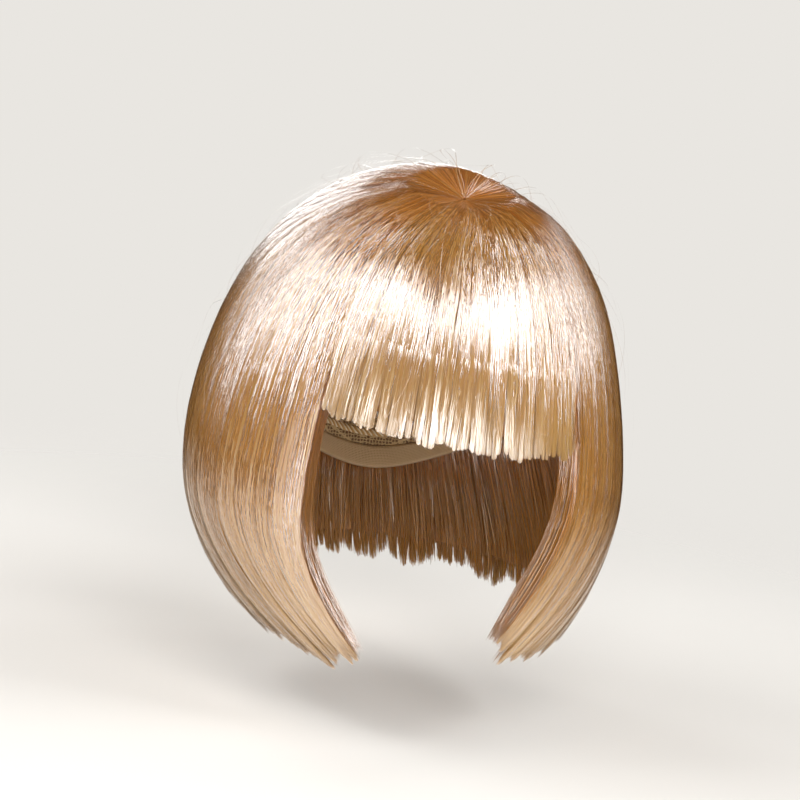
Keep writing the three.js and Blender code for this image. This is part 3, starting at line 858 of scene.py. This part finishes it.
@dataclass
class HairField:
    """One field of hair: a row of locks between two angles round the whorl, combed down from it."""

    name: str
    node: str
    start: float
    stop: float
    locks: int
    edge: Edge
    strands: int
    wisps: int = 5
    points: int = 13
    notch: float = 4 * MM
    ragged: float = 2.5 * MM
    width: float = STRAND_WIDTH
    shade: float = 0.5  # from 0 for dark strands to 1 for light ones
    wisp_tones: float = 0.1  # how much the tone varies from wisp to wisp
    strand_tones: float = 0.22
    bundle_tones: float = 0.17
    bundles: int = 5  # in each wisp
    lock_round: float = 0.35 * MM
    lock_variety: float = 0.16
    stray_step: float = 2.1
    ragged_step: float = 2.4
    layers: float = 1.5 * MM
    wisp_scatter: float = 0.25  # of a wisp's width, how far its middle lies off
    wisp_gather: float = 0.22  # of the way, how far strands draw in to the middle of their wisp
    lock_gather: float = 0.04
    wisp_cut: float = 0.8 * MM  # how unevenly the wisps are cut
    wisp_point: float = 0.6  # of the notch, how far the sides of a wisp are cut back
    strand_cut: float = 0.55  # of the notch, how far single strands are cut back
    longer: float = 3 * MM  # the most that a strand passes the cut line
    shorter: float = 16 * MM  # the most that it falls short of it
    gather_from: float = 0.3  # of a strand's length, where it begins to draw in
    lowest_root: float = 0.7  # of the way to its tip, the lowest that a strand starts
    root_depth: float = 3 * MM  # how deep a strand starts under the strands above it
    root_rise: float = 0.14  # of a strand's length, where it has come up to them
    taper_from: float = 0.86  # of a strand's length, where its tip begins
    wisp_sway: float = 0.5 * MM
    strand_sway: float = 0.25 * MM
    wisp_heave: float = 0.12 * MM
    width_variety: float = 0.25
    tip_width: float = 0.18  # of the strand's width
    lining: Lining = Lining()
    bed: Bed = Bed()

    def angle_at(self, place: Array) -> Array:
        """Gives the angles, in radians, of places across the field, counted in locks."""
        grooves = np.arange(self.locks + 1)
        strays = self.lock_variety * np.sin(self.stray_step * grooves)
        strays[[0, -1]] = 0
        edges = self.start + (grooves + strays) * (self.stop - self.start) / self.locks
        return np.radians(np.interp(place, grooves, edges))

    @staticmethod
    def section(across: Array) -> tuple[Array, Array]:
        """Gives a lock's lift and its reach down at places from groove to groove."""
        places = np.linspace(0, 1, 5)
        lift, reach = (np.interp(across, places, [0, flank, 1, flank, 0]) for flank in (0.78, 0.7))
        return lift, reach

    def end_at(self, hull: Silhouette, place: Array, shorter: Array) -> Array:
        """Gives the share at which fibres end, for places across the field and how far each is cut back."""
        angle = self.angle_at(place)
        lock = np.minimum(np.floor(place), self.locks - 1)
        _, reach = self.section(place - lock)
        uneven = self.ragged * np.sin(self.ragged_step * lock + self.start)
        drop = hull.cut(np.degrees(angle), self.edge) + uneven * reach - self.notch * (1 - reach)
        return hull.share_at_drop(angle, drop - shorter)

    def grow(self, hull: Silhouette, rng: Random) -> Strands:
        """Combs the top strands of the field.

        Args:
            hull: the surface that they lie on.
            rng: the seeded source of their variety.
        Returns:
            The strands.
        """
        count, wisps = self.strands, self.locks * self.wisps
        place = rng.uniform(0, self.locks, count)
        lock = np.floor(place)
        across = place - lock
        wisp = np.floor(across * self.wisps)
        number = (lock * self.wisps + wisp).astype(int)
        scatter = rng.uniform(-self.wisp_scatter, self.wisp_scatter, wisps)[number]
        home = self.angle_at(place)
        to_wisp = self.angle_at(lock + (wisp + 0.5 + scatter) / self.wisps) - home
        to_lock = self.angle_at(lock + 0.5) - home

        shorter = rng.normal(0, self.wisp_cut, wisps)[number]
        shorter = shorter + rng.exponential(self.notch * self.strand_cut, count)
        shorter = shorter + self.notch * self.wisp_point * np.abs(across * self.wisps - wisp - 0.5)
        end = self.end_at(hull, place, np.clip(shorter, -self.longer, self.shorter))
        girth = [section.side for section in SECTIONS]
        root = np.interp(rng.uniform(0, 1, count), girth, np.linspace(0, 1, len(SECTIONS)))
        root = np.minimum(root, end * self.lowest_root)[:, None]

        t = np.linspace(0, 1, self.points)[None]
        share = root + (end[:, None] - root) * t
        along = share / end[:, None]
        gather = smoothstep(along, self.gather_from, 1) ** 2
        drawn = self.wisp_gather * to_wisp + self.lock_gather * to_lock
        angle = home[:, None] + gather * drawn[:, None]
        out = hull.outward(angle, share)
        path = hull.fibre(angle, share)
        side = unit(np.cross(unit(np.gradient(path, axis=1)), out))

        lift, _ = self.section(across)
        layer = rng.beta(1.1, 1.6, count)[:, None] * self.layers * np.interp(root, [0, 0.3], [0.35, 1])
        depth = self.lock_round * (1 - lift)[:, None] * smoothstep(share, 0, 0.12) + layer
        is_below_whorl = root > 0.02
        depth = depth + self.root_depth * (1 - smoothstep(t, 0, self.root_rise)) * is_below_whorl
        sway = self._wave(rng, number, wisps, self.wisp_sway, t)
        sway = sway + self._wave(rng, np.arange(count), count, self.strand_sway, t)
        depth = depth + self._wave(rng, number, wisps, self.wisp_heave, t)
        path = path - out * depth[..., None] + side * sway[..., None]

        variety = rng.uniform(1 - self.width_variety, 1 + self.width_variety, count)[:, None]
        taper = self.tip_width + (1 - self.tip_width) * (1 - smoothstep(t, self.taper_from, 1))
        width = self.width * variety * smoothstep(t, -0.35, 0.12) * taper
        bundle = (place * self.wisps * self.bundles).astype(int)
        tone = self.shade + self.wisp_tones * rng.standard_normal(wisps)[number]
        tone = tone + self.strand_tones * rng.standard_normal(count)
        tone = tone + self.bundle_tones * rng.standard_normal(wisps * self.bundles)[bundle]
        return Strands(path, out, width, np.clip(tone, 0, 1), along)

    @staticmethod
    def _wave(rng: Random, number: Array, count: int, size: float, t: Array) -> Array:
        """Gives a slow wave along each strand, shared by the strands of the same number."""
        pace, phase = rng.uniform(0.6, 1.5, count), rng.uniform(0, math.tau, count)
        reach = rng.normal(0, size, count)
        pace, phase, reach = (values[number][:, None] for values in (pace, phase, reach))
        return np.sin(math.tau * pace * t + phase) * reach * smoothstep(t, 0, 0.5)


@dataclass
class StrayFibres:
    """Single fibres that have come loose from the combed hair, in low arches over it."""

    name: str = "stray_fibres"
    count: int = 130
    points: int = 21
    width: float = 0.22 * MM
    lift: float = 9 * MM
    clearance: float = 0.4 * MM
    lengths: tuple[float, float] = (0.12, 0.4)  # of the way down
    fringe_end: float = 0.5  # of the way down, the lowest that an end lies over the fringe
    bob_end: float = 0.9
    tip_width: float = 0.4  # of the fibre's width
    bow: float = 0.22  # radians round the whorl, how far a fibre bows aside
    drift: float = 0.1  # radians, how far its end lies from its root
    roundness: float = 40

    def grow(self, hull: Silhouette, rng: Random) -> Strands:
        """Lays the fibres.

        Args:
            hull: the surface that they rise from.
            rng: the seeded source of their variety.
        Returns:
            The strands.
        """
        shape = (self.count, 1)
        home = rng.uniform(-math.pi, math.pi, shape)
        root = rng.uniform(0, 1, shape) ** 2 * 0.5
        length = rng.uniform(*self.lengths, shape)
        t = np.linspace(0, 1, self.points)[None]
        is_fringe = np.abs(home) < math.radians(hull.fringe_edge)
        limit = np.where(is_fringe, self.fringe_end, self.bob_end)
        share = np.minimum(root + length * t, limit + 0.02 * t)
        arch = np.sin(math.pi * t)
        angle = home + rng.normal(0, self.bow, shape) * arch + rng.normal(0, self.drift, shape) * t
        out = hull.outward(angle, share)
        lift = self.lift * rng.uniform(0.25, 1, shape) * arch ** 1.3 + self.clearance
        path = hull.fibre(angle, share) + out * lift[..., None]
        width = np.broadcast_to(self.width * (1 - (1 - self.tip_width) * t), share.shape)
        tone = rng.uniform(0.6, 1, self.count)
        along = np.broadcast_to(0.4 + 0.6 * t, share.shape)
        return Strands(path, out, width, tone, along, self.roundness)


@dataclass
class WigHair:
    """All the hair of the wig: the fringe, the two sides and the back."""

    hull: Silhouette = field(default_factory=Silhouette)
    fields: tuple[HairField, ...] = (
        HairField("fringe", "fringe", -37, 37, 9, Edge.FRINGE, 7000, wisps=6, notch=2 * MM, ragged=1 * MM),
        HairField("side_left", "side_hair_left", 37, 108, 7, Edge.BOB, 7500),
        HairField("side_right", "side_hair_right", -108, -37, 7, Edge.BOB, 7500),
        # the back's lower tone, 0.44, is painted shade of the back hair
        HairField("back", "back_hair", 108, 252, 13, Edge.BOB, 8000, shade=0.44, lining=Lining(2200)),
    )

    def build(self) -> None:
        """Builds the strands, the lining and the bed of every field, and the loose fibres."""
        fibre, bed = ModacrylicFibre().material(), FibreBed().material()
        for index, part in enumerate(self.fields):
            rng = np.random.default_rng(SEED + index)
            top, under = part.grow(self.hull, rng), part.lining.hang(part, self.hull, rng)
            for kind, strands in (("_strands", top), ("_lining", under)):
                add_piece(part.name + kind, strands.mesh(part.name), fibre, Slot.FIBRE, part.node)
            add_piece(part.name + "_bed", part.bed.wall(part, self.hull), bed, Slot.FIBRE, part.node)
        strays = StrayFibres()
        loose = strays.grow(self.hull, np.random.default_rng(SEED + len(self.fields)))
        add_piece(strays.name, loose.mesh(strays.name), fibre, Slot.FIBRE)


@dataclass
class WigCap:
    """The cap: a stretch net with rows of weft tape sewn inside it, and the elastic band along its rim."""

    head: HeadForm = field(default_factory=HeadForm)
    net_wall: float = 1.2 * MM
    band_wall: float = 2 * MM
    band_height: float = 11 * MM
    band_gap: float = 0.3 * MM
    columns: int = 120
    net_rows: int = 40
    net_top: float = 0.004  # of the way down, where its small hole at the top ends
    tape_rows: int = 9
    tape_width: float = 3.6 * MM
    tape_pitch: float = 11 * MM
    tape_wall: float = 0.7 * MM
    tape_seat: float = 0.1 * MM
    tape_top: float = 4 * MM  # the least drop of a tape
    tape_steps: int = 5
    tape_front: float = 62  # degrees from the front where the tapes begin at each side
    band_steps: int = 9
    band_round: float = 0.35 * MM

    def _grid(self, turns: Array, drop_share: Array, offset: Array) -> Array:
        """Gives a grid of points over the form, rows of drop shares by columns of angles."""
        last = self.head.turn_at_drop(self.head.rim_drop(turns) - self.band_height - self.band_gap)
        return self.head.point(turns[None], drop_share[:, None] * last[None], offset)

    def net(self) -> Mesh:
        """Builds the net, a thin dome down to the band."""
        turns = np.linspace(0, math.tau, self.columns, endpoint=False)
        share = np.linspace(self.net_top, 1, self.net_rows)
        outer, inner = (self._grid(turns, share, offset) for offset in (self.net_wall, 0.0))
        return closed_wall("cap_net", outer, inner, True)

    def tape(self, number: int) -> Mesh:
        """Builds one row of weft tape, counted up from the band."""
        front = math.radians(self.tape_front)
        turns = np.linspace(front, math.tau - front, self.columns)
        drop = self.head.rim_drop(turns) - self.band_height - (number + 0.6) * self.tape_pitch
        rows = np.linspace(-0.5, 0.5, self.tape_steps)[:, None]
        levels = self.head.turn_at_drop(np.maximum(drop[None] + rows * self.tape_width, self.tape_top))
        crown = 1 - (2 * rows) ** 4
        thick = 0.05 * MM + self.tape_wall * (0.35 + 0.65 * crown)
        back = self.head.point(turns[None], levels, -self.tape_seat)
        face = self.head.point(turns[None], levels, -self.tape_seat - thick)
        return closed_wall(f"weft_tape_{number}", back, face)

    def band(self) -> Mesh:
        """Builds the elastic band, with rounded edges."""
        turns = np.linspace(0, math.tau, self.columns, endpoint=False)
        rows = np.linspace(0, 1, self.band_steps)[:, None]
        rim = self.head.rim_drop(turns)[None]
        levels = self.head.turn_at_drop(rim - self.band_height * (1 - rows))
        round_off = self.band_round * (2 * rows - 1) ** 6
        outer = self.head.point(turns[None], levels, self.band_wall - round_off)
        return closed_wall("cap_band", outer, self.head.point(turns[None], levels, round_off), True)

    def build(self) -> None:
        """Builds the net, its tapes and the band."""
        add_piece("cap_stretch_net", self.net(), StretchNet().material(), Slot.NET, "cap")
        add_piece("cap_elastic_band", self.band(), WovenElastic().material(), Slot.ELASTIC, "cap_band")
        tape = WeftTape().material()
        for number in range(self.tape_rows):
            add_piece(f"cap_weft_tape_{number + 1}", self.tape(number), tape, Slot.NET, "cap")


def direction(azimuth: float, elevation: float) -> Vector:
    """Gives the direction from the wig at an angle round it from the front, and up from level."""
    a, e = math.radians(azimuth), math.radians(elevation)
    return Vector((math.sin(a) * math.cos(e), -math.cos(a) * math.cos(e), math.sin(e)))


@dataclass
class WigCamera:
    """The camera, which looks at the wig from its right front and from a little above, tilted."""

    azimuth: float = -13
    elevation: float = 12
    roll: float = 9
    distance: float = 1.8
    view_width: float = 0.4168  # of the frame at the wig
    sensor: float = 36
    aim_right: float = -7 * MM
    aim_up: float = -96.3 * MM

    def build(self) -> None:
        """Makes the scene's camera."""
        back = direction(self.azimuth, self.elevation)
        level = direction(self.azimuth + 90, 0)
        upright = back.cross(level)
        roll = math.radians(self.roll)
        right = level * math.cos(roll) + upright * math.sin(roll)
        up = upright * math.cos(roll) - level * math.sin(roll)
        data = bpy.data.cameras.new("camera")
        data.sensor_width = self.sensor
        data.lens = self.sensor * self.distance / self.view_width
        camera = add_object("camera", data)
        place = level * self.aim_right + upright * self.aim_up + back * self.distance
        turned = Matrix((right, up, back)).transposed().to_4x4()
        camera.matrix_world = Matrix.Translation(place) @ turned
        bpy.context.scene.camera = camera


@dataclass(frozen=True)
class SoftBox:
    """A soft studio light, placed round the wig's middle and turned to face it."""

    name: str
    azimuth: float
    elevation: float
    distance: float
    width: float
    height: float
    power: float

    def build(self, middle: Vector) -> None:
        """Makes the light."""
        away = direction(self.azimuth, self.elevation)
        data = bpy.data.lights.new(self.name, "AREA")
        data.shape = "RECTANGLE"
        data.size, data.size_y = self.width, self.height
        data.energy = self.power
        light = add_object(self.name, data)
        light.visible_camera = False
        light.location = middle + away * self.distance
        light.rotation_mode = "QUATERNION"
        light.rotation_quaternion = (-away).to_track_quat("-Z", "Y")


@dataclass
class Studio:
    """The pale floor, the pale surround and the soft lights."""

    floor_gap: float = 30 * MM
    floor_radius: float = 1.0
    floor_rings: int = 12
    floor_sides: int = 96
    surround: str = "#E9E6E1"
    ambient: float = 0.03
    middle: tuple[float, float, float] = (0.0, 0.0, -0.1)
    lights: tuple[SoftBox, ...] = (
        SoftBox("key", 0, 31, 1.2, 0.8, 0.62, 9.2),
        SoftBox("left", -98, 25, 1.1, 0.85, 0.98, 14),
        SoftBox("right", 76, 27, 1.1, 0.6, 0.9, 11),
        SoftBox("high_left", -150, 40, 1.3, 0.36, 0.35, 2.2),
        SoftBox("high_right", 122, 40, 1.3, 0.3, 0.3, 1.8),
        SoftBox("low_front", -8, -14, 0.42, 0.5, 0.06, 0.6),
        SoftBox("back", 180, 8, 1.3, 0.8, 0.26, 4),
    )

    def build(self) -> None:
        """Builds the surround, the floor and the lights."""
        self._surround()
        self._floor()
        for light in self.lights:
            light.build(Vector(self.middle))
        bpy.context.scene.view_settings.view_transform = "Standard"

    def _surround(self) -> None:
        """Makes the world: pale where it is seen, dimmer where it lights."""
        world = bpy.data.worlds.new("surround")
        bpy.context.scene.world = world
        world.use_nodes = True
        tree = world.node_tree
        tree.nodes.clear()
        seen = add_node(tree, "LightPath").outputs["Is Camera Ray"]
        dimmed = add_node(tree, "MapRange", {"Value": seen, "To Min": self.ambient, "To Max": 1.0})
        strength = dimmed.outputs["Result"]
        shine = add_node(tree, "Background", {"Color": linear(self.surround), "Strength": strength})
        add_node(tree, "OutputWorld", {"Surface": shine.outputs["Background"]})

    def _floor(self) -> None:
        """Makes the round floor under the wig."""
        radii = np.linspace(0, self.floor_radius, self.floor_rings + 1)[1:]
        turns = np.linspace(0, math.tau, self.floor_sides, endpoint=False)
        points = [(0.0, 0.0, 0.0)]
        points += [(out * math.cos(turn), out * math.sin(turn), 0.0) for out in radii for turn in turns]
        faces = []
        for side in range(self.floor_sides):
            after = (side + 1) % self.floor_sides
            faces.append((0, 1 + side, 1 + after))
            for step in range(self.floor_rings - 1):
                inner = 1 + step * self.floor_sides
                outer = inner + self.floor_sides
                faces.append((inner + side, outer + side, outer + after, inner + after))
        mesh = bpy.data.meshes.new("floor")
        mesh.from_pydata(points, [], faces)
        floor = add_mesh("floor", mesh, StudioPaper().material())
        floor.location.z = CAD_BOUNDS[0].z - self.floor_gap


def main() -> None:
    """Builds the camera, the studio and every piece of the wig."""
    logging.basicConfig(level=logging.INFO, format="%(name)s: %(message)s")
    WigCamera().build()
    Studio().build()
    WigHair().build()
    WigCap().build()
    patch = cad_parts["crown_patch"].data.materials
    patch.clear()
    patch.append(SkinPatch().material())


if __name__ == "__main__":
    main()
